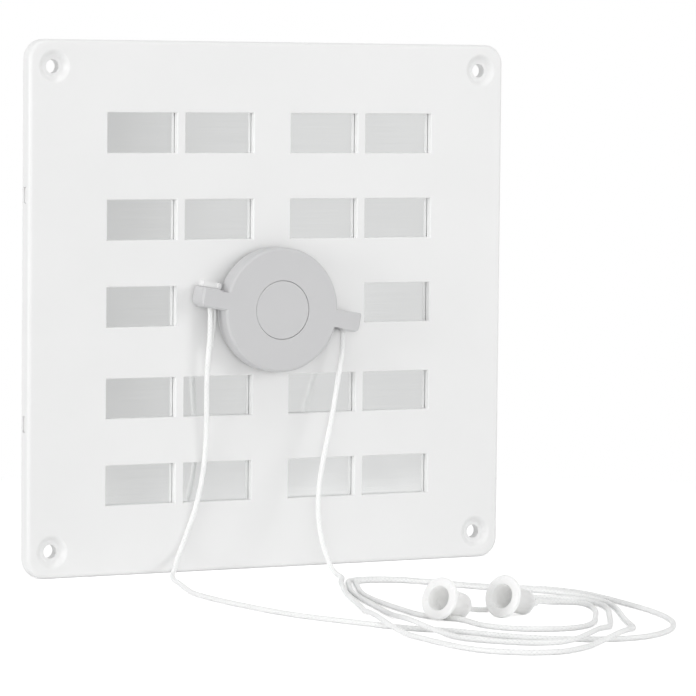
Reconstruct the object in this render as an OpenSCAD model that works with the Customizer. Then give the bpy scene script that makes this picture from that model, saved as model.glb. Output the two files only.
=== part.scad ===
// Square wall grille. A hub on its front slides a shutter up and down behind its windows.
// X is right, Y goes from the room into the wall, Z is up.
// The origin is the centre of the plate on the wall plane.
// Most modules are drawn lying on the wall: x right, y up, z out into the room. stand() raises them.

/* [Plate] */
// Width and height of the square plate
plate_size = 200; // [194:1:240]
// Depth of the plate from the wall to its front face
plate_depth = 6; // [5.8:0.1:8]
// Thickness of the front skin
skin_t = 2.5; // [2.2:0.1:2.6]
// Thickness of the rim wall
rim_t = 2.2; // [2:0.1:3]
// Radius of the plate's corners
corner_r = 7.5; // [5:0.5:10]
// Rounding of the plate's front edge
edge_r = 1.6; // [0.8:0.1:1.8]

/* [Windows] */
// Width of a window
window_w = 28.5; // [26:0.1:29]
// Height of a window
window_h = 15; // [12:0.1:15.5]
// Bar between two windows side by side
column_gap = 3.5; // [3:0.1:5]
// Bar down the middle of the plate
centre_bar = 15.7; // [14:0.1:17]
// Height from one row to the next
row_pitch = 32.5; // [32:0.1:33]
// Height of the top row over the plate's centre
top_row_z = 65.6; // [64:0.1:66]
// Depth of the bottom row below the plate's centre
bottom_row_drop = 66.1; // [64:0.1:66.5]
// Bevel round the front of a window
window_bevel = 0.35; // [0.1:0.05:0.8]

/* [Screw holes] */
// Distance of a screw hole from the plate's edges
hole_inset = 10; // [9.5:0.1:12]
// Diameter of a screw hole
hole_d = 5.2; // [4:0.1:6]
// Diameter of the dish round a screw hole
dish_d = 13; // [11:0.5:14]
// Depth of the dish
dish_depth = 2; // [1:0.1:2.2]
// Diameter of the boss behind a screw hole
screw_boss_d = 11; // [9:0.5:12]

/* [Hub] */
// Diameter of the hub's disc
hub_d = 47.2; // [46:0.1:48]
// Height of the hub's face over the plate
hub_front = 9.8; // [9.6:0.1:11]
// Gap between the plate and the disc's skirt
hub_gap = 2; // [1.5:0.1:3]
// Rounding of the disc's front edge
hub_edge_r = 1.2; // [0.8:0.1:1.8]
// Wall of the disc's face and skirt
hub_wall = 1.8; // [1.4:0.1:2.2]
// Drop of the hub's centre below the plate's centre
hub_drop = 1; // [0:0.1:2]
// Turn of the ears at rest, clockwise seen from the room
rest_turn = 9.6; // [6:0.1:12]
// Diameter of the cap in the hub's face
cap_d = 22.2; // [20:0.1:24]
// Thickness of the cap
cap_t = 1.6; // [1.2:0.1:1.6]

/* [Ears] */
// Distance from the hub's centre to the end of an ear
ear_reach = 33.8; // [33:0.1:36]
// Width of an ear
ear_w = 7.6; // [6.4:0.1:8]
// Gap between the plate and an ear
ear_gap = 1; // [0.6:0.1:1.5]
// Wall of an ear
ear_wall = 1; // [0.8:0.1:1]
// Rounding of an ear's lower outer corner
ear_corner_r = 2.8; // [1.5:0.1:3]
// Depth of the relief beside an ear's root
ear_relief_depth = 0.8; // [0.4:0.1:1]
// Length of the relief along the ear
ear_relief_len = 3.7; // [3:0.1:4.5]

/* [Bearing] */
// Diameter of the bearing boss on the plate
bearing_d = 8; // [7:0.1:8.5]
// Height of the bearing boss over the plate
bearing_h = 5.5; // [5.2:0.1:5.7]
// Radial clearance between the hub and the bearing boss
bearing_clearance = 0.05; // [0.02:0.01:0.1]
// Thickness of the washer under the hub
friction_washer_t = 1.3; // [1:0.1:1.5]
// Diameter of the washer under the screw head
pivot_washer_d = 11.5; // [10:0.1:12]
// Thickness of the washer under the screw head
pivot_washer_t = 0.7; // [0.5:0.05:0.8]
// Diameter of the pivot screw's head
screw_head_d = 6.5; // [5.5:0.1:7.5]
// Height of the pivot screw's head
screw_head_h = 1.8; // [1.4:0.05:1.8]
// Diameter of the pivot screw's shank
screw_shank_d = 3.1; // [2.8:0.1:3.5]

/* [Drive] */
// Distance from the hub's centre to the drive pin
pin_reach = 20; // [19.8:0.1:20.1]
// Diameter of the drive pin
pin_d = 4; // [3:0.1:4]
// Diameter of the drive pin's head
pin_head_d = 7; // [6.5:0.1:8]
// Thickness of the drive pin's head
pin_head_t = 0.9; // [0.6:0.1:1]
// Clearance round the drive pin in the plate's arc slot
arc_clearance = 0.4; // [0.2:0.05:0.4]
// Clearance above and below the drive pin in the shutter's slot
slot_clearance = 0.25; // [0.15:0.05:0.4]

/* [Shutter] */
// Thickness of the shutter's sheet
sheet_t = 0.8; // [0.5:0.1:0.9]
// Gap between the skin and the shutter
slide_gap = 0.3; // [0.25:0.05:0.5]
// Margin of the sheet beside the windows
side_margin = 6.5; // [5:0.1:7]
// Margin of the sheet above and below the windows
end_margin = 2.6; // [1.5:0.1:2.8]

/* [Guide rails] */
// Clearance between the sheet's edge and the rail
rail_clearance = 0.3; // [0.2:0.05:0.5]
// Width of the rail's foot
rail_foot_w = 2.6; // [2:0.1:3.5]
// Reach of the rail's lip behind the sheet
rail_lip = 3.8; // [3:0.1:4.5]
// Thickness of the rail's lip
rail_lip_t = 1.5; // [1.2:0.1:1.6]
// Height of a clip slot above or below the plate's centre
clip_z = 42.4; // [35:0.1:50]
// Height of a clip slot
clip_slot_h = 6; // [4:0.1:8]
// Depth of a clip slot, measured into the wall
clip_slot_t = 2; // [1.6:0.1:2.2]

/* [End stop] */
// Width of the stop beside the left ear
stop_w = 7; // [5:0.1:7.5]
// Height of the stop's body over the plate
stop_h = 3.6; // [3:0.1:5]
// Thickness of the stop, measured up the plate
stop_t = 2.1; // [1.6:0.1:4.5]

/* [Cords and pulls] */
// Diameter of a cord
cord_d = 2; // [1.8:0.1:2.1]
// Diameter of a pull's flange
pull_d = 15.2; // [15:0.1:16]
// Length of a pull
pull_len = 14.5; // [13:0.1:16]
// Thickness of a pull's flange
pull_flange_t = 1.6; // [1.2:0.1:2]
// Diameter of a pull's body beside the flange
pull_root_d = 9.6; // [9.4:0.1:10]
// Diameter of a pull's body at its small end
pull_end_d = 8.8; // [8.4:0.1:9.4]
// Diameter of a pull's mouth
pull_mouth_d = 8.8; // [8:0.1:9]
// Diameter of a pull's bore at its deep end
pull_bore_d = 6.8; // [6.4:0.1:7.2]
// Wall at a pull's small end
pull_end_wall = 2.2; // [1.8:0.1:2.6]
// Diameter of a knot
knot_d = 4.8; // [4:0.1:5]
// Length of a knot
knot_len = 3.4; // [2.8:0.1:3.8]

/* [Hidden] */
$fn = 64;
cut = 0.5;

plate_half = plate_size / 2;
skin_back = plate_depth - skin_t;
hole_place = plate_half - hole_inset;

column_x = [for (side = [-1, 1], i = [0, 1]) side * (centre_bar / 2 + window_w / 2
    + i * (window_w + column_gap))];
row_y = [top_row_z, top_row_z - row_pitch, top_row_z - 2 * row_pitch,
    row_pitch - bottom_row_drop, -bottom_row_drop];
hub_row = 2;
grid_half_w = centre_bar / 2 + 2 * window_w + column_gap;

travel = row_pitch / 2;
swing_half = asin(travel / (2 * pin_reach));
pin_place = [pin_reach * cos(swing_half), -hub_drop - travel / 2];

sheet_front = skin_back - slide_gap;
sheet_back = sheet_front - sheet_t;
sheet_half_w = grid_half_w + side_margin;
sheet_top = top_row_z + window_h / 2 + end_margin;
sheet_bottom = -bottom_row_drop - travel - window_h / 2 - end_margin;
sheet_corner_r = 2;
slide_rib_h = slide_gap - 0.15;
slide_rib_w = 1.4;

running_gap = 0.1;
hub_r = hub_d / 2;
hub_base = plate_depth;
collar_r = 8.2;
collar_back = friction_washer_t + running_gap;
collar_front = bearing_h - running_gap;
well_r = pivot_washer_d / 2 + 0.85;
cap_seat = hub_front - cap_t;
cap_gap = 0.12;
cap_ledge_t = 1.2;
cap_ring_t = 1;
cap_ring_h = 1.2;
rib_t = 1.2;
rib_count = 6;
rib_lift = 1;
rib_sink = 0.1;
pin_boss_r = pin_d / 2 + 1;
pin_boss_back = 0.5;
pin_press = 0.05;
pin_seat = hub_front - hub_wall - 0.7;
pin_head_gap = 0.25;

ear_root = hub_r - hub_wall / 2;
ear_face_root = hub_r - hub_edge_r - 0.6;
ear_tip_r = 1;
ear_bevel = 0.7;
ear_inner = hub_r + ear_wall;
ear_relief_r = 1.5;
ear_face_t = 1.4;
cord_reach = (ear_inner + ear_reach - ear_wall) / 2;
cord_height = 5;
ear_slot_w = cord_d + 0.8;
knot_seat = 0.1;

washer_fit = 0.2;
pilot_d = screw_shank_d - 0.3;
screw_tip = -skin_t + 0.7;
drive_cross_w = 0.9;
drive_cross_l = 3.6;
drive_cross_depth = 1;

rail_half_len = hole_place - screw_boss_d / 2 - 0.5;
rail_floor = 0.4;
rail_edge = sheet_half_w + rail_clearance;
clip_play = 0.3;
clip_floor = 1;
clip_end_gap = 0.5;

stop_clearance = 0.2;
stop_inner = hub_r + 1;
stop_rib_w = 1.2;
stop_rib_rise = 1.2;

floor_z = -plate_half;
pull_edge_r = pull_flange_t / 2;
pull_end_r = 1.4;
pull_hole_d = cord_d + 0.4;
pull_mouth_depth = 2;

// Points of a cord that hangs from the left ear, lies in one loop and ends in the left pull
left_route = [
    [-28.2, -11, 0.8], [-28, -10.8, -8], [-28.6, -9.8, -24], [-28, -8.2, -47],
    [-29, -7.3, -63], [-33, -7.2, -79], [-39, -8, -93], [-44, -14, -98.8],
    [-54, -37, -99], [-62.5, -70, -99], [-62, -103, -99], [-55.5, -140, -99],
    [-44, -168, -99], [-36, -184, -99], [-24.5, -198, -99], [-14, -216, -99],
    [-1, -228.5, -99], [20, -236, -99], [41, -226, -99], [59, -198, -99],
    [67, -152, -99], [62, -111, -99], [45, -95, -99], [14, -58.5, -99],
    [7.5, -59.5, -99], [2.3, -67, -99], [-7, -87, -99], [-18.5, -126, -99],
    [-28.5, -161, -98], [-34.5, -186, -96.6], [-33, -200, -98.3], [-31, -213, -99],
    [-20, -229, -99], [-6, -238.5, -98.2], [8, -232, -96.6], [28, -210, -98.6],
    [46, -180, -99], [57, -155, -99], [54, -136, -99], [44, -129.5, -99],
    [28, -138, -99], [12, -153, -98.8]];

// Points of a cord that hangs from the right ear, lies in one loop and ends in the right pull
right_route = [
    [27.9, -11, -7.9], [27.7, -11.6, -15], [25.3, -13.2, -27], [20.9, -15.4, -45],
    [15.6, -18.4, -62.5], [12.3, -23, -79], [11.5, -30.5, -92], [11, -37.5, -97.6],
    [8, -51, -99], [2.5, -60.5, -99], [-2, -70, -99], [-10, -88, -99],
    [-28, -137, -99], [-41.2, -173.5, -96.6], [-43.5, -193, -98.6], [-43.5, -218, -99],
    [-36, -246, -99], [-19, -254.5, -99], [-2, -247, -99], [17.5, -235.5, -96.6],
    [31, -220.5, -98], [44, -193.5, -99], [61, -154, -99], [58.5, -117, -99],
    [43, -98, -99], [13.5, -62.8, -99], [8, -63.5, -99], [4, -69.8, -99],
    [-6, -93, -99], [-12, -118, -99], [-15.5, -146, -99], [-14.8, -160, -99],
    [-9.2, -170.6, -99], [-9, -187, -99], [3, -204, -99], [18, -205.5, -99],
    [38, -184, -99], [50, -162, -99], [50.5, -147, -99], [43, -144.5, -98.8],
    [31.5, -155, -97]];

// Where each pull lies: x and y of its flange, the heading of its small end, and how far a cord
// under its neck lifts the flange
left_pull_place = [-15.9, -167.2, 23, 0.5];
right_pull_place = [9.2, -167.6, 22, 0];

// Tilt at which a pull rests on its flange and its small end
pull_run = pull_len - pull_end_r - pull_edge_r;
pull_drop = (pull_d / 2 - pull_edge_r) - (pull_end_d / 2 - pull_end_r);
function pull_tilt(place) = atan(pull_drop / pull_run)
    - asin((pull_end_r - pull_edge_r - place[3]) / norm([pull_run, pull_drop]));

// World point on a pull's axis, at a distance from its mouth
function pull_point(place, along) =
    let (back = along - pull_edge_r, up = pull_d / 2 - pull_edge_r)
    let (tilt = pull_tilt(place), out = up * sin(tilt) + back * cos(tilt))
    [place[0] + out * cos(place[2]), place[1] + out * sin(place[2]),
        floor_z + place[3] + pull_edge_r + up * cos(tilt) - back * sin(tilt)];

function unit(v) = v / norm(v);
function tangent(p, i) = unit(p[min(i + 1, len(p) - 1)] - p[max(i - 1, 0)]);
function squared_to(n, t) = unit(n - (n * t) * t);
function normals(p) = [for (i = 0, n = squared_to([1, 0, 0], tangent(p, 0)); i < len(p);
    i = i + 1, n = i < len(p) ? squared_to(n, tangent(p, i)) : n) n];

module stand() rotate([90, 0, 0]) children();

module hub_frame() stand() translate([0, -hub_drop, hub_base]) rotate(-rest_turn) children();

module rounded_plate(size, r, h) {
    linear_extrude(h) {
        square([size, size - 2 * r], center = true);
        square([size - 2 * r, size], center = true);
        for (x = [-1, 1], y = [-1, 1]) translate([x, y] * (size / 2 - r)) circle(r);
    }
}

module rim_profile() {
    square([rim_t, plate_depth - edge_r]);
    square([rim_t - edge_r, plate_depth]);
    translate([rim_t - edge_r, plate_depth - edge_r]) circle(edge_r);
}

module rim() {
    straight = plate_size - 2 * corner_r;
    for (turn = [0:90:270]) rotate(turn) {
        translate([plate_half - corner_r, plate_half - corner_r, 0]) rotate_extrude(angle = 90)
            translate([corner_r - rim_t, 0]) rim_profile();
        translate([plate_half - rim_t, straight / 2, 0]) rotate([90, 0, 0])
            linear_extrude(straight) rim_profile();
    }
}

// Windows as the crossing of upright and level channels, so that each is bevelled all round
module window_section(w) {
    polygon([[-w / 2, -cut], [w / 2, -cut], [w / 2, skin_t - window_bevel],
        [w / 2 + window_bevel + cut, skin_t + cut], [-w / 2 - window_bevel - cut, skin_t + cut],
        [-w / 2, skin_t - window_bevel]]);
}

module windows() {
    intersection() {
        for (x = column_x) translate([x, plate_half, skin_back]) rotate([90, 0, 0])
            linear_extrude(plate_size) window_section(window_w);
        for (y = row_y) translate([-plate_half, y, skin_back]) rotate([90, 0, 90])
            linear_extrude(plate_size) window_section(window_h);
        difference() {
            translate([-plate_half, -plate_half, 0]) cube([plate_size, plate_size, plate_depth + 1]);
            translate([-column_x[3] + window_w / 2, row_y[hub_row] - window_h, 0])
                cube([2 * column_x[3] - window_w, 2 * window_h, plate_depth + 1]);
        }
    }
}

module dish() {
    flat_r = hole_d / 2 + 0.9;
    steps = 8;
    rotate_extrude() polygon(concat(
        [for (i = [0:steps]) let (s = i / steps)
            [flat_r + s * (dish_d / 2 - flat_r), -dish_depth * (1 + cos(180 * s)) / 2]],
        [[dish_d / 2, cut], [0, cut], [0, -dish_depth]]));
}

module at_screw_holes() {
    for (x = [-1, 1], y = [-1, 1]) translate([x * hole_place, y * hole_place, 0])
        rotate(atan2(y, x) - 45) children();
}

module screw_boss() {
    cylinder(d = screw_boss_d, h = skin_back + cut);
    web = hole_inset - rim_t + cut;
    translate([0, -rib_t / 2, 1]) cube([web, rib_t, skin_back]);
    translate([-rib_t / 2, 0, 1]) cube([rib_t, web, skin_back]);
}

module arc_slot() {
    w = pin_d + 2 * arc_clearance;
    translate([0, -hub_drop, skin_back - cut]) {
        rotate(-swing_half) rotate_extrude(angle = 2 * swing_half)
            translate([pin_reach - w / 2, 0]) square([w, skin_t + 2 * cut]);
        for (a = [-swing_half, swing_half]) rotate(a) translate([pin_reach, 0, 0])
            cylinder(d = w, h = skin_t + 2 * cut);
    }
}

module end_stop() {
    translate([0, -hub_drop, plate_depth - cut]) rotate(-rest_turn) {
        translate([-stop_inner - stop_w, ear_w / 2 + stop_clearance, 0])
            cube([stop_w, stop_t, stop_h + cut]);
        translate([-stop_inner - stop_rib_w, ear_w / 2 + stop_clearance, 0])
            cube([stop_rib_w, stop_t, stop_h + stop_rib_rise + cut]);
    }
}

module slide_ribs() {
    rib_x = [0, (column_x[2] + column_x[3]) / 2, grid_half_w + slide_rib_w];
    for (side = [-1, 1], x = rib_x)
        translate([side * x - slide_rib_w / 2, sheet_bottom + end_margin, skin_back - slide_rib_h])
            cube([slide_rib_w, sheet_top - sheet_bottom, slide_rib_h + cut]);
}

module front_plate() {
    color("white") stand() difference() {
        union() {
            rim();
            translate([0, 0, skin_back])
                rounded_plate(plate_size - 2 * edge_r, corner_r - edge_r, skin_t);
            at_screw_holes() screw_boss();
            difference() {
                slide_ribs();
                translate([-hub_r, -hub_drop - hub_r, 0]) cube([hub_d, hub_d, skin_back]);
            }
            translate([0, -hub_drop, skin_back]) cylinder(d = bearing_d, h = skin_t + bearing_h);
            end_stop();
        }
        windows();
        at_screw_holes() {
            translate([0, 0, -cut]) cylinder(d = hole_d, h = plate_depth + 2 * cut);
            translate([0, 0, plate_depth]) dish();
        }
        arc_slot();
        translate([0, -hub_drop, plate_depth + screw_tip - 0.2])
            cylinder(d = pilot_d, h = bearing_h + skin_t);
        for (side = [-1, 1], y = [-1, 1])
            translate([side * (plate_half - rim_t / 2) - rim_t, y * clip_z - clip_slot_h / 2, clip_floor])
                cube([2 * rim_t, clip_slot_h, clip_slot_t]);
    }
}

module shutter() {
    h = sheet_top - sheet_bottom;
    w = 2 * sheet_half_w;
    r = sheet_corner_r;
    slot_w = pin_d + 2 * slot_clearance;
    slot_x = [pin_place[0] - pin_head_gap, pin_reach + pin_head_gap];
    color("silver") stand() translate([0, 0, sheet_back]) linear_extrude(sheet_t) difference() {
        translate([0, (sheet_top + sheet_bottom) / 2]) {
            square([w, h - 2 * r], center = true);
            square([w - 2 * r, h], center = true);
            for (x = [-1, 1], y = [-1, 1]) translate([x * (w / 2 - r), y * (h / 2 - r)]) circle(r);
        }
        for (i = [0:len(row_y) - 1], j = [0:len(column_x) - 1])
            if (i != hub_row || j == 1 || j == 3)
                translate([column_x[j], row_y[i] - travel]) square([window_w, window_h], center = true);
        translate([slot_x[0], pin_place[1] - slot_w / 2]) square([slot_x[1] - slot_x[0], slot_w]);
        for (x = slot_x) translate([x, pin_place[1]]) circle(d = slot_w);
    }
}

// Rail on the right side; the left one is its mirror image
module guide_rail() {
    foot_h = skin_back - rail_floor;
    arm_end = plate_half - clip_end_gap;
    translate([rail_edge, -rail_half_len, rail_floor]) cube([rail_foot_w, 2 * rail_half_len, foot_h]);
    translate([rail_edge - rail_lip, -rail_half_len, rail_floor])
        cube([rail_lip + cut, 2 * rail_half_len, rail_lip_t]);
    for (y = [-1, 1])
        translate([rail_edge + rail_foot_w - cut, y * clip_z - clip_slot_h / 2 + clip_play,
            clip_floor + clip_play / 2])
            cube([arm_end - rail_edge - rail_foot_w + cut, clip_slot_h - 2 * clip_play,
                clip_slot_t - clip_play]);
}

module right_guide_rail() color("whitesmoke") stand() guide_rail();

module left_guide_rail() color("whitesmoke") stand() mirror([1, 0, 0]) guide_rail();

module hub_section() {
    difference() {
        union() {
            translate([0, hub_gap]) square([hub_r, hub_front - hub_gap - hub_edge_r]);
            translate([0, hub_gap]) square([hub_r - hub_edge_r, hub_front - hub_gap]);
            translate([hub_r - hub_edge_r, hub_front - hub_edge_r]) circle(hub_edge_r);
            translate([0, collar_back]) square([collar_r, hub_front - collar_back]);
        }
        translate([collar_r, hub_gap - cut])
            square([hub_r - hub_wall - collar_r, hub_front - hub_wall - cap_ledge_t - hub_gap + cut]);
        translate([cap_d / 2 + hub_wall, hub_gap])
            square([hub_r - hub_wall - cap_d / 2 - hub_wall, hub_front - hub_wall - hub_gap]);
        translate([-cut, -cut]) square([bearing_d / 2 + bearing_clearance + cut, hub_front + 2 * cut]);
        translate([-cut, collar_front]) square([well_r + cut, hub_front]);
        translate([-cut, cap_seat]) square([cap_d / 2 + cap_gap + cut, hub_front]);
    }
}

// Outline of the right ear from its root, rounded below at its end
module ear_outline(root) {
    low = -ear_w / 2;
    translate([root, low]) square([ear_reach - ear_corner_r - root, ear_w]);
    translate([root, low + ear_corner_r]) square([ear_reach - root, ear_w - ear_corner_r - ear_tip_r]);
    translate([root, low + ear_corner_r]) square([ear_reach - ear_tip_r - root, ear_w - ear_corner_r]);
    translate([ear_reach - ear_corner_r, low + ear_corner_r]) circle(ear_corner_r);
    translate([ear_reach - ear_tip_r, ear_w / 2 - ear_tip_r]) circle(ear_tip_r);
}

// Section whose right front edge is bevelled
module bevelled_section(reach, height) {
    polygon([[-reach, 0], [reach, 0], [reach, height - ear_bevel], [reach - ear_bevel, height],
        [-reach, height]]);
}

module ear_form(root, base) {
    height = hub_front - base;
    translate([0, 0, base]) intersection() {
        linear_extrude(height) ear_outline(root);
        rotate([90, 0, 90]) linear_extrude(ear_reach + 1) intersection() {
            bevelled_section(ear_w / 2, height);
            mirror([1, 0]) bevelled_section(ear_w / 2, height);
        }
        translate([0, ear_w, 0]) rotate([90, 0, 0])
            linear_extrude(2 * ear_w) bevelled_section(ear_reach, height);
    }
}

// Right ear, hollow, with one flank set back beside the disc: the lower one where below is 1
module ear(below) {
    end = hub_r + ear_relief_len - ear_relief_r;
    inside_w = ear_w - ear_relief_depth - 2 * ear_wall;
    difference() {
        union() {
            ear_form(ear_root, ear_gap);
            ear_form(ear_face_root, hub_front - hub_wall / 2);
        }
        mirror([0, below, 0]) {
            translate([0, ear_w / 2 - ear_relief_depth, cord_height]) {
                cube([end, ear_w, hub_front]);
                translate([end, ear_relief_r, 0]) cylinder(r = ear_relief_r, h = hub_front);
            }
            translate([ear_inner, ear_wall - ear_w / 2, ear_gap + ear_wall])
                cube([ear_reach - ear_wall - ear_inner, inside_w, hub_front - ear_face_t - ear_gap - ear_wall]);
        }
        translate([ear_inner, -ear_w / 2 - cut, cord_height - ear_slot_w / 2])
            cube([cord_reach + ear_slot_w / 2 - ear_inner, ear_w / 2, ear_slot_w]);
    }
}

module hub_ribs() {
    for (i = [0:rib_count - 1]) rotate(30 + 360 * i / rib_count)
        translate([collar_r - cut, -rib_t / 2, hub_gap + rib_lift])
            cube([hub_r - hub_wall - collar_r + 2 * cut, rib_t,
                cap_seat - rib_sink - hub_gap - rib_lift]);
}

module hub() {
    color("lightgray") hub_frame() difference() {
        union() {
            rotate_extrude() hub_section();
            hub_ribs();
            ear(1);
            mirror([1, 0, 0]) ear(0);
            rotate(rest_turn - swing_half) translate([pin_reach, 0, hub_gap + pin_boss_back])
                cylinder(r = pin_boss_r, h = hub_front - hub_gap - pin_boss_back - hub_wall / 2);
        }
        rotate(rest_turn - swing_half) translate([pin_reach, 0, hub_gap - cut])
            cylinder(r = pin_d / 2 - pin_press, h = pin_seat - hub_gap + cut);
    }
}

module centre_cap() {
    ring_out = well_r - running_gap;
    color("lightgray") hub_frame() rotate_extrude() {
        translate([0, cap_seat]) square([cap_d / 2, cap_t]);
        translate([ring_out - cap_ring_t, cap_seat - cap_ring_h]) square([cap_ring_t, cap_ring_h + 0.2]);
    }
}

module drive_pin() {
    pin_back = sheet_back - pin_head_gap;
    color("gray") stand() translate([pin_place[0], pin_place[1], 0]) {
        translate([0, 0, pin_back - pin_head_t]) cylinder(d = pin_head_d, h = pin_head_t);
        translate([0, 0, pin_back]) cylinder(d = pin_d, h = hub_base + pin_seat - pin_back);
    }
}

module pivot_screw() {
    head_base = bearing_h + pivot_washer_t;
    color("silver") stand() translate([0, -hub_drop, hub_base]) difference() {
        union() {
            translate([0, 0, screw_tip]) cylinder(d = screw_shank_d, h = head_base - screw_tip);
            translate([0, 0, head_base]) cylinder(d = screw_head_d, h = screw_head_h / 2);
            translate([0, 0, head_base + screw_head_h / 2])
                cylinder(d1 = screw_head_d, d2 = screw_head_d * 0.75, h = screw_head_h / 2);
        }
        for (turn = [0, 90]) rotate(turn)
            translate([-drive_cross_l / 2, -drive_cross_w / 2, head_base + screw_head_h - drive_cross_depth])
                cube([drive_cross_l, drive_cross_w, drive_cross_depth + cut]);
    }
}

module washer(bore, outer, thickness) {
    difference() {
        cylinder(d = outer, h = thickness);
        translate([0, 0, -cut]) cylinder(d = bore, h = thickness + 2 * cut);
    }
}

module pivot_washer() {
    color("silver") stand() translate([0, -hub_drop, hub_base + bearing_h])
        washer(screw_shank_d + 2 * washer_fit, pivot_washer_d, pivot_washer_t);
}

module friction_washer() {
    color("dimgray") stand() translate([0, -hub_drop, hub_base])
        washer(bearing_d + 2 * washer_fit, 2 * collar_r - 1, friction_washer_t);
}

// A knot drawn up tight, as a barrel with rounded ends
module knot() {
    r = knot_len / 4;
    rotate_extrude() {
        square([knot_d / 2 - r, knot_len]);
        translate([0, r]) square([knot_d / 2, knot_len - 2 * r]);
        for (y = [r, knot_len - r]) translate([knot_d / 2 - r, y]) circle(r);
    }
}

// A knot stands on the lower wall of its ear
module ear_knot(x, wall) {
    hub_frame() translate([x, wall + knot_seat - ear_w / 2, cord_height]) rotate([-90, 0, 0]) knot();
}

module left_ear_knot() color("white") ear_knot(-cord_reach, ear_wall);

module right_ear_knot() color("white") ear_knot(cord_reach, ear_wall + ear_relief_depth);

// A tube of eight sides through the points of a route
module cord(route) {
    sides = 8;
    n = normals(route);
    points = [for (i = [0:len(route) - 1], k = [0:sides - 1])
        let (a = 360 * k / sides, b = cross(tangent(route, i), n[i]))
        route[i] + cord_d / 2 * (cos(a) * n[i] + sin(a) * b)];
    last = (len(route) - 1) * sides;
    faces = concat(
        [[for (k = [0:sides - 1]) k]],
        [for (i = [0:len(route) - 2], k = [0:sides - 1]) let (m = (k + 1) % sides)
            [i * sides + k, (i + 1) * sides + k, (i + 1) * sides + m, i * sides + m]],
        [[for (k = [sides - 1:-1:0]) last + k]]);
    polyhedron(points, faces);
}

// The route's own points, then straight in along the axis of its pull as far as the knot
function whole_route(route, place) = concat(route,
    [pull_point(place, pull_len + 3), pull_point(place, pull_len - pull_end_wall)]);

module left_cord() color("white") cord(whole_route(left_route, left_pull_place));

module right_cord() color("white") cord(whole_route(right_route, right_pull_place));

module pull_section() {
    inner_end = pull_len - pull_end_wall;
    root_r = pull_root_d / 2;
    end_r = pull_end_d / 2;
    neck_r = pull_bore_d / 2 + (pull_root_d - pull_end_d) / 2;
    difference() {
        union() {
            square([pull_d / 2 - pull_edge_r, pull_flange_t]);
            translate([pull_d / 2 - pull_edge_r, pull_edge_r]) circle(pull_edge_r);
            polygon([[0, 0], [root_r, pull_edge_r], [end_r, pull_len - pull_end_r],
                [end_r - pull_end_r, pull_len], [0, pull_len]]);
            translate([end_r - pull_end_r, pull_len - pull_end_r]) circle(pull_end_r);
        }
        polygon([[-cut, -cut], [pull_mouth_d / 2, -cut], [pull_mouth_d / 2, 0],
            [neck_r, pull_mouth_depth], [pull_bore_d / 2, inner_end], [-cut, inner_end]]);
        translate([-cut, inner_end - cut]) square([pull_hole_d / 2 + cut, pull_end_wall + 2 * cut]);
    }
}

module lay_pull(place) {
    translate([place[0], place[1], floor_z + place[3] + pull_edge_r]) rotate(place[2])
        rotate([0, 90 + pull_tilt(place), 0])
            translate([pull_edge_r - pull_d / 2, 0, -pull_edge_r]) children();
}

module left_pull() color("ghostwhite") lay_pull(left_pull_place) rotate_extrude() pull_section();

module right_pull() color("ghostwhite") lay_pull(right_pull_place) rotate_extrude() pull_section();

module left_pull_knot() {
    color("white") lay_pull(left_pull_place)
        translate([0, 0, pull_len - pull_end_wall - knot_len]) knot();
}

module right_pull_knot() {
    color("white") lay_pull(right_pull_place)
        translate([0, 0, pull_len - pull_end_wall - knot_len]) knot();
}

front_plate();
shutter();
left_guide_rail();
right_guide_rail();
hub();
centre_cap();
drive_pin();
pivot_screw();
pivot_washer();
friction_washer();
left_cord();
right_cord();
left_ear_knot();
right_ear_knot();
left_pull();
right_pull();
left_pull_knot();
right_pull_knot();
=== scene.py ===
"""Looks of the ventilation grille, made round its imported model.

Lengths are in metres, apart from the cords' routes. X is to the right seen from the room, Y goes
into the wall and Z is up.
"""

import math

import bpy
import numpy as np
from mathutils import Matrix, Vector


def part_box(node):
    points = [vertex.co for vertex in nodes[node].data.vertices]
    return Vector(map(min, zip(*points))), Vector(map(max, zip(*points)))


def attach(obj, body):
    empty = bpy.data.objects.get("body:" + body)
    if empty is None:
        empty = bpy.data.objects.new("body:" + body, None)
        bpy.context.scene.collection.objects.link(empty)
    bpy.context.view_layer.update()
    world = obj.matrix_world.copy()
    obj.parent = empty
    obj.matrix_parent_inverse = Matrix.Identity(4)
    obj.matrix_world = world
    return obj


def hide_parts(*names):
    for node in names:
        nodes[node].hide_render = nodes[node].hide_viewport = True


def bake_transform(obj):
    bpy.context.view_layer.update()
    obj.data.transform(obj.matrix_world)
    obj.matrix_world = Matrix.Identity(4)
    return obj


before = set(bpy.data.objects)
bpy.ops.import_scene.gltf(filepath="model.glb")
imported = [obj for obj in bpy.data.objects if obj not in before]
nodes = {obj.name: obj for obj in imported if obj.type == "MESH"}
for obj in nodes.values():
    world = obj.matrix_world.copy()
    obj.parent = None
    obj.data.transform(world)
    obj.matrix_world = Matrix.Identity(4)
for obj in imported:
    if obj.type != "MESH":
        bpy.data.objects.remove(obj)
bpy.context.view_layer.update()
scene = bpy.context.scene

MM = 0.001
# Height of the floor, which the plate's lower edge stands on
FLOOR = -0.1


# Meshes

# Steps from ring to ring and from side to side that reach the four corners of a face
QUAD_CORNERS = ((0, 0), (0, 1), (1, 1), (1, 0))


def add_object(name, data):
    obj = bpy.data.objects.new(name, data)
    scene.collection.objects.link(obj)
    return obj


def add_mesh(name, points, faces):
    mesh = bpy.data.meshes.new(name)
    mesh.from_pydata(points, [], faces)
    return add_object(name, mesh)


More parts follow.
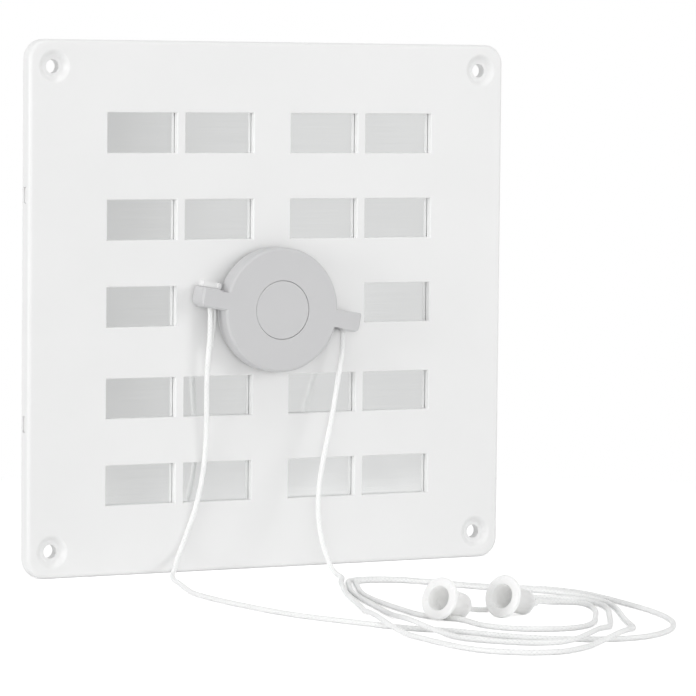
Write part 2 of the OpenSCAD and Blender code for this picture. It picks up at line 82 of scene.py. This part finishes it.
def add_ringed_solid(name, points, rings, sides):
    """Closed solid from rings of points, with smooth faces from ring to ring and two flat ends."""
    faces = [[(ring + up) * sides + (side + over) % sides for up, over in QUAD_CORNERS]
             for ring in range(rings - 1) for side in range(sides)]
    last = (rings - 1) * sides
    smooth = [True] * len(faces) + [False, False]
    faces += [list(range(sides - 1, -1, -1)), list(range(last, last + sides))]
    obj = add_mesh(name, points, faces)
    obj.data.polygons.foreach_set("use_smooth", smooth)
    obj.data.update()
    return obj


# Camera, as fitted to the plate's corners, windows and screw holes in the photograph

CAMERA_PLACE = (-0.69265, -1.39472, 0.0871)
CAMERA_YAW = math.radians(27.59)
CAMERA_PITCH = math.radians(3.79)
CAMERA_ROLL = math.radians(0.56)
CAMERA_LENS = 211.6
CAMERA_SENSOR = 36
CAMERA_REACH = 20


def make_camera():
    """Camera turned about Z, then tipped, then leaned to one side."""
    sin, cos = math.sin, math.cos
    turn = Matrix(((cos(CAMERA_YAW), -sin(CAMERA_YAW), 0),
                   (sin(CAMERA_YAW), cos(CAMERA_YAW), 0),
                   (0, 0, 1)))
    tip = Matrix(((1, 0, 0),
                  (0, cos(CAMERA_PITCH), -sin(CAMERA_PITCH)),
                  (0, sin(CAMERA_PITCH), cos(CAMERA_PITCH))))
    lean = Matrix(((cos(CAMERA_ROLL), 0, sin(CAMERA_ROLL)),
                   (0, 1, 0),
                   (-sin(CAMERA_ROLL), 0, cos(CAMERA_ROLL))))
    right, forward, up = lean @ tip @ turn
    data = bpy.data.cameras.new("camera")
    data.sensor_width = CAMERA_SENSOR
    data.lens = CAMERA_LENS
    data.clip_end = CAMERA_REACH
    camera = add_object("camera", data)
    rotation = Matrix((right, up, -forward)).transposed().to_4x4()
    camera.matrix_world = Matrix.Translation(CAMERA_PLACE) @ rotation
    scene.camera = camera


make_camera()


# Braided tubes

CORD_R = 0.001
PATH_STEP = 0.0004
# Points worked out on each stretch of a route before they are spaced evenly
STRETCH_SAMPLES = 40
TUBE_SIDES = 16
YARNS = 4
BRAID_PITCH = 0.0066
BRAID_RELIEF = 0.07


def run_along(path):
    """Length of a path up to each of its points."""
    return np.concatenate([[0], np.cumsum(np.linalg.norm(np.diff(path, axis=0), axis=1))])


def spline(route):
    """Evenly spaced points on the natural cubic spline through a route, kept above the floor."""
    route = np.array(route, float)
    lengths = np.linalg.norm(np.diff(route, axis=0), axis=1)
    count = len(route)
    system = np.zeros((count, count))
    known = np.zeros((count, 3))
    system[0, 0] = system[-1, -1] = 1
    for i in range(1, count - 1):
        before, after = lengths[i - 1], lengths[i]
        system[i, i - 1:i + 2] = before, 2 * (before + after), after
        known[i] = 6 * ((route[i + 1] - route[i]) / after - (route[i] - route[i - 1]) / before)
    bend = np.linalg.solve(system, known)
    made = []
    for i, length in enumerate(lengths):
        for gone in np.linspace(0, length, STRETCH_SAMPLES, endpoint=False):
            to_go = length - gone
            made.append(bend[i] * to_go ** 3 / (6 * length) + bend[i + 1] * gone ** 3 / (6 * length)
                        + (route[i] / length - bend[i] * length / 6) * to_go
                        + (route[i + 1] / length - bend[i + 1] * length / 6) * gone)
    made = np.array(made + [route[-1]])
    made[:, 2] = np.maximum(made[:, 2], FLOOR + CORD_R)
    run = run_along(made)
    even = np.linspace(0, run[-1], max(2, round(run[-1] / PATH_STEP)) + 1)
    return np.column_stack([np.interp(even, run, made[:, k]) for k in range(3)])


def braid_height(u, v):
    """Height of the braid, 0 in its ticks and 1 on its yarns, at u turns round and v pitches along."""
    crossing = np.sin(math.pi * YARNS * (u + v)) * np.sin(math.pi * YARNS * (u - v))
    return np.sqrt(np.abs(crossing))


def directions_across(path, start):
    """Two directions across each point of a path, which turn no more than the path does."""
    tangents = np.gradient(path, axis=0)
    tangents /= np.linalg.norm(tangents, axis=1)[:, None]
    first = []
    across = np.array(start, float)
    for tangent in tangents:
        across = across - (across @ tangent) * tangent
        across /= np.linalg.norm(across)
        first.append(across)
    first = np.array(first)
    return first, np.cross(tangents, first)


def tube(name, path, radius, start):
    """Closed braided tube along a path, with a UV map that runs round it and along it.

    Its first side lies towards start, which is a direction across the path.
    """
    path = np.array(path, float)
    first, second = directions_across(path, start)
    along = run_along(path) / BRAID_PITCH
    u, v = np.meshgrid(np.arange(TUBE_SIDES) / TUBE_SIDES, along)
    r = radius * (1 - BRAID_RELIEF * (1 - braid_height(u, v)))
    points = (path[:, None] + (r * np.cos(2 * math.pi * u))[..., None] * first[:, None]
              + (r * np.sin(2 * math.pi * u))[..., None] * second[:, None]).reshape(-1, 3)
    obj = add_ringed_solid(name, points.tolist(), len(path), TUBE_SIDES)
    uvs = [((side + over) / TUBE_SIDES, along[ring + up])
           for ring in range(len(path) - 1) for side in range(TUBE_SIDES) for up, over in QUAD_CORNERS]
    uvs += [(0, 0)] * (2 * TUBE_SIDES)
    layer = obj.data.uv_layers.new(name="along")
    layer.data.foreach_set("uv", np.array(uvs, np.float32).ravel())
    return obj


# Cords, whose routes, pulls and floor are those of part.scad

PULL_R = 0.0076
PULL_LENGTH = 0.0145
PULL_END_R = 0.0044
PULL_END_ROUNDING = 0.0014
PULL_END_WALL = 0.0022
PULL_EDGE_R = 0.0008
# Length of straight cord outside the small end of a pull
PULL_LEAD = 0.003

# Points in millimetres
LEFT_ROUTE = [
    (-28.2, -11, 0.8), (-28, -10.8, -8), (-28.6, -9.8, -24), (-28, -8.2, -47),
    (-29, -7.3, -63), (-33, -7.2, -79), (-39, -8, -93), (-44, -14, -98.8),
    (-54, -37, -99), (-62.5, -70, -99), (-62, -103, -99), (-55.5, -140, -99),
    (-44, -168, -99), (-36, -184, -99), (-24.5, -198, -99), (-14, -216, -99),
    (-1, -228.5, -99), (20, -236, -99), (41, -226, -99), (59, -198, -99),
    (67, -152, -99), (62, -111, -99), (45, -95, -99), (14, -58.5, -99),
    (7.5, -59.5, -99), (2.3, -67, -99), (-7, -87, -99), (-18.5, -126, -99),
    (-28.5, -161, -98), (-34.5, -186, -96.6), (-33, -200, -98.3), (-31, -213, -99),
    (-20, -229, -99), (-6, -238.5, -98.2), (8, -232, -96.6), (28, -210, -98.6),
    (46, -180, -99), (57, -155, -99), (54, -136, -99), (44, -129.5, -99),
    (28, -138, -99), (12, -153, -98.8)]

RIGHT_ROUTE = [
    (27.9, -11, -7.9), (27.7, -11.6, -15), (25.3, -13.2, -27), (20.9, -15.4, -45),
    (15.6, -18.4, -62.5), (12.3, -23, -79), (11.5, -30.5, -92), (11, -37.5, -97.6),
    (8, -51, -99), (2.5, -60.5, -99), (-2, -70, -99), (-10, -88, -99),
    (-28, -137, -99), (-41.2, -173.5, -96.6), (-43.5, -193, -98.6), (-43.5, -218, -99),
    (-36, -246, -99), (-19, -254.5, -99), (-2, -247, -99), (17.5, -235.5, -96.6),
    (31, -220.5, -98), (44, -193.5, -99), (61, -154, -99), (58.5, -117, -99),
    (43, -98, -99), (13.5, -62.8, -99), (8, -63.5, -99), (4, -69.8, -99),
    (-6, -93, -99), (-12, -118, -99), (-15.5, -146, -99), (-14.8, -160, -99),
    (-9.2, -170.6, -99), (-9, -187, -99), (3, -204, -99), (18, -205.5, -99),
    (38, -184, -99), (50, -162, -99), (50.5, -147, -99), (43, -144.5, -98.8),
    (31.5, -155, -97)]

# Short end of the left cord, which hangs beside it from the knot in the ear
LEFT_TAIL = [
    (-27, -11, 1.5), (-26.4, -10.9, -1), (-26.2, -10.7, -5), (-26.3, -10.1, -9),
    (-26.8, -9.5, -15)]
TAIL_R = 0.0007

# Where each pull's flange rests, its heading in degrees, and how far it is lifted off the floor
LEFT_PULL = (-0.0159, -0.1672, 23, 0.0005)
RIGHT_PULL = (0.0092, -0.1676, 22, 0)


def pull_axis(x, y, heading, lift):
    """Mouth and direction of the axis of a pull that lies on its flange and on its small end."""
    run = PULL_LENGTH - PULL_END_ROUNDING - PULL_EDGE_R
    up = PULL_R - PULL_EDGE_R
    drop = up - (PULL_END_R - PULL_END_ROUNDING)
    sink = math.asin((PULL_END_ROUNDING - PULL_EDGE_R - lift) / math.hypot(run, drop))
    tilt = math.atan(drop / run) - sink
    out = Vector((math.cos(math.radians(heading)), math.sin(math.radians(heading)), 0))
    direction = out * math.cos(tilt) - Vector((0, 0, math.sin(tilt)))
    rest = Vector((x, y, FLOOR + lift + PULL_EDGE_R))
    centre = rest + out * up * math.sin(tilt) + Vector((0, 0, up * math.cos(tilt)))
    return centre - direction * PULL_EDGE_R, direction


def make_cord(side, route, place):
    """Cord from its ear to the knot in its pull."""
    mouth, direction = pull_axis(*place)
    points = [Vector(p) * MM for p in route]
    points += [mouth + direction * (PULL_LENGTH + PULL_LEAD),
               mouth + direction * (PULL_LENGTH - PULL_END_WALL)]
    path = spline(points)
    obj = tube(side + "_cord_braid", path, CORD_R, start=(0, -1, 0))
    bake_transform(obj)
    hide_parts(side + "_cord")
    return obj, path


def make_tail():
    """Short loose end, which hangs beside the left cord from the knot in the ear."""
    path = spline([Vector(p) * MM for p in LEFT_TAIL])
    obj = tube("left_cord_tail", path, TAIL_R, start=(0, -1, 0))
    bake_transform(obj)
    return obj


left_cord, left_path = make_cord("left", LEFT_ROUTE, LEFT_PULL)
right_cord, right_path = make_cord("right", RIGHT_ROUTE, RIGHT_PULL)
left_tail = make_tail()


# Knots

KNOT_CORD_R = 0.0009
KNOT_HEIGHT = 0.0015
PULL_KNOT_WIDTH = 0.0046
EAR_KNOT_WIDTH = 0.0042
KNOT_POINTS = 240
# Any direction that isn't along a knot's axis, and one that isn't along its cord
KNOT_ACROSS = (0.2, 0.3, 1)
KNOT_ASLANT = (0.3, 0.2, 0.9)
# The hub's turn in the photograph, which the ears' axes follow
REST_TURN = math.radians(9.6)


def knot_path(centre, axis, width):
    """Overhand knot drawn up tight about an axis, as a closed path."""
    axis = Vector(axis).normalized()
    across = Vector(KNOT_ACROSS)
    across = (across - across.dot(axis) * axis).normalized()
    third = axis.cross(across)
    t = np.linspace(0, 2 * math.pi, KNOT_POINTS, endpoint=False)
    x = (np.sin(t) + 2 * np.sin(2 * t)) / 3 * width / 2
    y = (np.cos(t) - 2 * np.cos(2 * t)) / 3 * width / 2
    z = -np.sin(3 * t) * KNOT_HEIGHT / 2
    return np.array([centre + across * a + third * b + axis * c for a, b, c in zip(x, y, z)])


def make_knot(node, axis, body, width):
    """Knot of braid in the middle of its CAD node."""
    low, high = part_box(node)
    path = knot_path((low + high) / 2, axis, width)
    path = np.vstack([path, path[:1]])
    obj = tube(node + "_braid", path, KNOT_CORD_R, start=path[1] - path[0] + np.array(KNOT_ASLANT))
    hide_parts(node)
    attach(obj, body)
    return obj


ear_axis = (math.sin(REST_TURN), 0, math.cos(REST_TURN))
left_pull_knot = make_knot("left_pull_knot", pull_axis(*LEFT_PULL)[1], "plate", PULL_KNOT_WIDTH)
right_pull_knot = make_knot("right_pull_knot", pull_axis(*RIGHT_PULL)[1], "plate", PULL_KNOT_WIDTH)
left_ear_knot = make_knot("left_ear_knot", ear_axis, "hub", EAR_KNOT_WIDTH)
right_ear_knot = make_knot("right_ear_knot", ear_axis, "hub", EAR_KNOT_WIDTH)


# Cap

CAP_EDGE_R = 0.0004
CAP_EDGE_STEPS = 6
CAP_SEGMENTS = 160


def lathe(name, profile, centre):
    """Solid turned about a line along Y through the centre, from (radius, y) points on its outline."""
    turns = [2 * math.pi * k / CAP_SEGMENTS for k in range(CAP_SEGMENTS)]
    points = [(centre.x + r * math.cos(a), y, centre.z + r * math.sin(a))
              for r, y in profile for a in turns]
    return add_ringed_solid(name, points, len(profile), CAP_SEGMENTS)


def make_cap():
    """The hub's cap, with the rounded edge that shades the groove round it."""
    low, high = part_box("centre_cap")
    radius, front, back = (high.x - low.x) / 2, low.y, high.y
    bend = [math.pi / 2 * k / CAP_EDGE_STEPS for k in range(CAP_EDGE_STEPS + 1)]
    profile = [(radius - CAP_EDGE_R * (1 - math.sin(a)), front + CAP_EDGE_R * (1 - math.cos(a)))
               for a in bend]
    profile += [(radius, back)]
    obj = lathe("centre_cap_rounded", profile, (low + high) / 2)
    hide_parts("centre_cap")
    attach(obj, "hub")
    return obj


cap = make_cap()


# Nodes of materials

def shader(name, colour, roughness, **sockets):
    """Material with a plain Principled shader. A socket's name has _ for each space."""
    mat = bpy.data.materials.new(name)
    mat.use_nodes = True
    tree = mat.node_tree
    bsdf = tree.nodes["Principled BSDF"]
    bsdf.inputs["Base Color"].default_value = (*colour, 1)
    bsdf.inputs["Roughness"].default_value = roughness
    for socket, value in sockets.items():
        bsdf.inputs[socket.replace("_", " ")].default_value = value
    return mat, tree, bsdf


def empty_material(name):
    mat = bpy.data.materials.new(name)
    mat.use_nodes = True
    mat.node_tree.nodes.clear()
    return mat, mat.node_tree


def node(tree, kind, **settings):
    """New node, with its inputs or else its properties set by name."""
    made = tree.nodes.new(kind)
    for key, value in settings.items():
        if key in made.inputs:
            made.inputs[key].default_value = value
        else:
            setattr(made, key, value)
    return made


def maths(tree, operation, *values):
    """Result of a Math node on numbers and on other nodes' results."""
    made = node(tree, "ShaderNodeMath", operation=operation)
    for socket, value in zip(made.inputs, values):
        if isinstance(value, (int, float)):
            socket.default_value = value
        else:
            tree.links.new(value, socket)
    return made.outputs[0]


def noise(tree, scale, detail, stretch=None):
    """Noise with so many bumps a metre, or with other numbers of them along X, Y and Z."""
    place = node(tree, "ShaderNodeTexCoord").outputs["Object"]
    if stretch:
        mapping = node(tree, "ShaderNodeMapping", Scale=stretch)
        tree.links.new(place, mapping.inputs["Vector"])
        place = mapping.outputs["Vector"]
    made = node(tree, "ShaderNodeTexNoise", Scale=scale, Detail=detail)
    tree.links.new(place, made.inputs["Vector"])
    return made.outputs["Fac"]


def ranged(tree, value, low, high, from_low=0.3, from_high=0.7):
    """Value that goes from low to high as the one given goes from from_low to from_high.

    Most of a noise lies between 0.3 and 0.7.
    """
    made = node(tree, "ShaderNodeMapRange")
    made.inputs["From Min"].default_value = from_low
    made.inputs["From Max"].default_value = from_high
    made.inputs["To Min"].default_value = low
    made.inputs["To Max"].default_value = high
    tree.links.new(value, made.inputs["Value"])
    return made.outputs["Result"]


def tinted(tree, value, colour_a, colour_b):
    """Colour between two others, each a tuple or a socket.

    The colour sockets of a Mix node share their names with others, so they are found by number.
    """
    made = node(tree, "ShaderNodeMix", data_type="RGBA")
    factor, first, second, result = made.inputs[0], made.inputs[6], made.inputs[7], made.outputs[2]
    tree.links.new(value, factor)
    for socket, colour in ((first, colour_a), (second, colour_b)):
        if isinstance(colour, tuple):
            socket.default_value = (*colour, 1)
        else:
            tree.links.new(colour, socket)
    return result


def bumped(tree, bsdf, heights):
    """Chain of bumps, each given as its height, its strength and its depth in metres."""
    normal = None
    for height, strength, depth in heights:
        bump = node(tree, "ShaderNodeBump", Strength=strength, Distance=depth)
        tree.links.new(height, bump.inputs["Height"])
        if normal:
            tree.links.new(normal, bump.inputs["Normal"])
        normal = bump.outputs["Normal"]
    tree.links.new(normal, bsdf.inputs["Normal"])


# Materials

def moulding(name, light, dark, roughness):
    """Moulded plastic: fine spark texture, faint flow shade and uneven gloss."""
    mat, tree, bsdf = shader(name, light, roughness)
    flow = noise(tree, scale=14, detail=3)
    gloss = noise(tree, scale=60, detail=4)
    spark = noise(tree, scale=2600, detail=3)
    waviness = noise(tree, scale=90, detail=2)
    colour = tinted(tree, ranged(tree, flow, 0, 1), dark, light)
    tree.links.new(colour, bsdf.inputs["Base Color"])
    tree.links.new(ranged(tree, gloss, roughness - 0.05, roughness + 0.07), bsdf.inputs["Roughness"])
    bumped(tree, bsdf, [(spark, 0.35, 0.00002), (waviness, 0.25, 0.00004)])
    return mat


def aluminium():
    """Bright rolled sheet: fine level lines from the rolls and a slight waviness."""
    mat, tree, bsdf = shader("aluminium_sheet", (0.87, 0.878, 0.875), 0.17, Metallic=1)
    lines = noise(tree, scale=1, detail=3, stretch=(30, 30, 2600))
    gloss = noise(tree, scale=40, detail=4)
    waviness = noise(tree, scale=25, detail=2)
    colour = tinted(tree, ranged(tree, lines, 0, 1), (0.86, 0.868, 0.865), (0.885, 0.892, 0.89))
    tree.links.new(colour, bsdf.inputs["Base Color"])
    tree.links.new(ranged(tree, gloss, 0.14, 0.2), bsdf.inputs["Roughness"])
    bumped(tree, bsdf, [(lines, 0.06, 0.00001), (waviness, 0.3, 0.00003)])
    return mat


def plated_steel():
    """Zinc-plated fixings with a grainy gloss."""
    mat, tree, bsdf = shader("plated_steel", (0.62, 0.62, 0.6), 0.3, Metallic=1)
    gloss = noise(tree, scale=700, detail=4)
    grain = noise(tree, scale=1800, detail=3)
    tree.links.new(ranged(tree, gloss, 0.24, 0.42), bsdf.inputs["Roughness"])
    bumped(tree, bsdf, [(grain, 0.2, 0.00001)])
    return mat


def fibre():
    """Pressed dark fibre of the friction washer."""
    mat, tree, bsdf = shader("dark_fibre", (0.03, 0.03, 0.03), 0.8)
    grain = noise(tree, scale=3000, detail=5)
    bumped(tree, bsdf, [(grain, 0.6, 0.00005)])
    return mat


def braid():
    """White nylon braid: painted shade darkens the ticks between yarns, with filaments along each yarn.
    """
    filaments_a_yarn = 5
    mat, tree, bsdf = shader("white_braid", (0.93, 0.935, 0.93), 0.5, Sheen_Weight=0.2,
                             Subsurface_Weight=0.8, Subsurface_Scale=1,
                             Subsurface_Radius=(0.0025, 0.0025, 0.0025))
    uv = node(tree, "ShaderNodeUVMap", uv_map="along")
    parts = node(tree, "ShaderNodeSeparateXYZ")
    tree.links.new(uv.outputs["UV"], parts.inputs["Vector"])
    u, v = parts.outputs["X"], parts.outputs["Y"]
    ways = [maths(tree, "ADD", u, v), maths(tree, "SUBTRACT", u, v)]

    def wave(way, count):
        return maths(tree, "ABSOLUTE", maths(tree, "SINE", maths(tree, "MULTIPLY", way, math.pi * count)))

    yarn = maths(tree, "SQRT", maths(tree, "MULTIPLY", wave(ways[0], YARNS), wave(ways[1], YARNS)))
    filaments = wave(ways[0], YARNS * filaments_a_yarn)
    mottle = noise(tree, scale=320, detail=2)
    # Painted shade in the ticks between yarns, darker than the yarn's own white and made uneven by the
    # mottle
    tick_shade = tinted(tree, ranged(tree, mottle, 0, 1), (0.66, 0.67, 0.67), (0.86, 0.865, 0.86))
    on_yarn = ranged(tree, yarn, 0, 1, from_low=0, from_high=0.5)
    colour = tinted(tree, on_yarn, tick_shade, (0.86, 0.865, 0.86))
    tree.links.new(colour, bsdf.inputs["Base Color"])
    bumped(tree, bsdf, [(yarn, 0.5, 0.00008), (filaments, 0.2, 0.00002)])
    return mat


def milky():
    """Translucent moulding of the pulls, which light passes through."""
    mat, tree, bsdf = shader("translucent_moulding", (0.99, 0.99, 0.965), 0.35, IOR=1.49,
                             Subsurface_Weight=1, Subsurface_Scale=1,
                             Subsurface_Radius=(0.006, 0.006, 0.006))
    gloss = noise(tree, scale=220, detail=3)
    waviness = noise(tree, scale=400, detail=3)
    tree.links.new(ranged(tree, gloss, 0.26, 0.36), bsdf.inputs["Roughness"])
    bumped(tree, bsdf, [(waviness, 0.2, 0.00003)])
    return mat


def paint(mat, pieces):
    """Gives the pieces this material and no other."""
    for obj in pieces:
        obj.data.materials.clear()
        obj.data.materials.append(mat)


def cad(*names):
    """CAD nodes with these names."""
    return [nodes[name] for name in names]


paint(moulding("white_moulding", (0.845, 0.846, 0.844), (0.826, 0.828, 0.826), 0.36),
      cad("front_plate", "left_guide_rail", "right_guide_rail"))
paint(moulding("grey_moulding", (0.586, 0.586, 0.592), (0.566, 0.566, 0.574), 0.5), cad("hub") + [cap])
paint(plated_steel(), cad("drive_pin", "pivot_screw", "pivot_washer"))
paint(braid(), [left_cord, right_cord, left_tail,
                left_pull_knot, right_pull_knot, left_ear_knot, right_ear_knot])
paint(milky(), cad("left_pull", "right_pull"))
paint(aluminium(), cad("shutter"))
paint(fibre(), cad("friction_washer"))


# Floor, world and lights

FLOOR_HALF = 6
FLOOR_COLOUR = (0.92, 0.92, 0.92, 1)
# Light that the floor adds to its own shade for the camera, so that it is white but keeps shadows
FLOOR_GLOW = 0.5
# The floor turns to plain white between these distances from the middle of what stands on it
MIDDLE = (0, -0.1, FLOOR)
WHITE_FROM, WHITE_AT = 0.2, 0.45
# Strength of the light from all round
AMBIENT = 0.52
# Point that the lamps face
LAMP_AIM = Vector((0, -0.05, -0.02))


def seen(tree):
    """1 for camera, glossy and transmission rays, which show the background, and 0 for the others."""
    rays = node(tree, "ShaderNodeLightPath").outputs
    mirrored = maths(tree, "MAXIMUM", rays["Is Camera Ray"], rays["Is Glossy Ray"])
    return maths(tree, "MAXIMUM", mirrored, rays["Is Transmission Ray"])


def mixed(tree, factor, first, second):
    """The first shader where the factor is 0, and the second where it is 1."""
    made = node(tree, "ShaderNodeMixShader")
    for socket, value in zip(made.inputs, (factor, first, second)):
        tree.links.new(value, socket)
    return made.outputs[0]


def make_floor():
    """Pale floor, which lights the object as it is and looks white to the camera."""
    half = FLOOR_HALF
    obj = add_mesh("floor", [(-half, -half, FLOOR), (half, -half, FLOOR), (half, half, FLOOR),
                             (-half, half, FLOOR)], [(0, 1, 2, 3)])
    mat, tree = empty_material("floor")
    out = node(tree, "ShaderNodeOutputMaterial")
    plain = node(tree, "ShaderNodeBsdfDiffuse", Color=FLOOR_COLOUR).outputs[0]
    glow = node(tree, "ShaderNodeEmission", Strength=FLOOR_GLOW).outputs[0]
    white = node(tree, "ShaderNodeEmission", Strength=1).outputs[0]
    bright = node(tree, "ShaderNodeAddShader")
    tree.links.new(plain, bright.inputs[0])
    tree.links.new(glow, bright.inputs[1])
    away = node(tree, "ShaderNodeVectorMath", operation="DISTANCE")
    away.inputs[1].default_value = MIDDLE
    tree.links.new(node(tree, "ShaderNodeNewGeometry").outputs["Position"], away.inputs[0])
    far = ranged(tree, away.outputs["Value"], 0, 1, WHITE_FROM, WHITE_AT)
    shown = mixed(tree, far, bright.outputs[0], white)
    tree.links.new(mixed(tree, seen(tree), plain, shown), out.inputs["Surface"])
    obj.data.materials.append(mat)


def make_world():
    """Even light from all round, with a white background behind the object."""
    scene.world = bpy.data.worlds.new("studio")
    scene.world.use_nodes = True
    tree = scene.world.node_tree
    tree.nodes.clear()
    out = node(tree, "ShaderNodeOutputWorld")
    ambient = node(tree, "ShaderNodeBackground", Color=(1, 1, 1, 1), Strength=AMBIENT).outputs[0]
    white = node(tree, "ShaderNodeBackground", Color=(1, 1, 1, 1), Strength=1).outputs[0]
    tree.links.new(mixed(tree, seen(tree), ambient, white), out.inputs["Surface"])


def make_card():
    """Reflector in front of the plate, dimmer on the left and brighter at its foot.

    It is seen only in reflections, where it stands for the room in front of the object.
    """
    left, right, low_z, high_z, y = -0.15, 0.4, FLOOR, 0.35, -0.2
    obj = add_mesh("card", [(left, y, low_z), (right, y, low_z), (right, y, high_z), (left, y, high_z)],
                   [(0, 1, 2, 3)])
    mat, tree = empty_material("card")
    out = node(tree, "ShaderNodeOutputMaterial")
    glow = node(tree, "ShaderNodeEmission")
    parts = node(tree, "ShaderNodeSeparateXYZ")
    tree.links.new(node(tree, "ShaderNodeNewGeometry").outputs["Position"], parts.inputs[0])
    x, z = parts.outputs["X"], parts.outputs["Z"]
    # Each strength goes from its first value to its second over a stretch of the card
    left_part = ranged(tree, x, 0.5, 0.75, from_low=-0.02, from_high=0.07)
    right_part = ranged(tree, x, 0.7, 0.8, from_low=0.05, from_high=0.15)
    low_part = ranged(tree, z, 0.74, 0.6, from_low=-0.09, from_high=-0.055)
    across = maths(tree, "MINIMUM", left_part, right_part)
    strength = maths(tree, "MAXIMUM", across, low_part)
    tree.links.new(strength, glow.inputs["Strength"])
    tree.links.new(glow.outputs[0], out.inputs["Surface"])
    obj.data.materials.append(mat)
    for rays in ("camera", "diffuse", "transmission", "shadow", "volume_scatter"):
        setattr(obj, "visible_" + rays, False)


def softbox(name, place, size, watts):
    """Square lamp that faces the object."""
    data = bpy.data.lights.new(name, "AREA")
    data.shape = "SQUARE"
    data.size = size
    data.energy = watts
    lamp = add_object(name, data)
    lamp.location = place
    lamp.rotation_euler = (LAMP_AIM - Vector(place)).to_track_quat("-Z", "Y").to_euler()


make_floor()
make_world()
make_card()
softbox("front", place=(-1.2, -2.6, 0.35), size=1, watts=13)
softbox("left", place=(-3, -0.6, 0.35), size=0.9, watts=29)
softbox("right", place=(2, -2, 0.6), size=1.2, watts=15.5)
softbox("top", place=(-0.3, -0.8, 2.2), size=1.2, watts=10)

scene.view_settings.view_transform = "Standard"
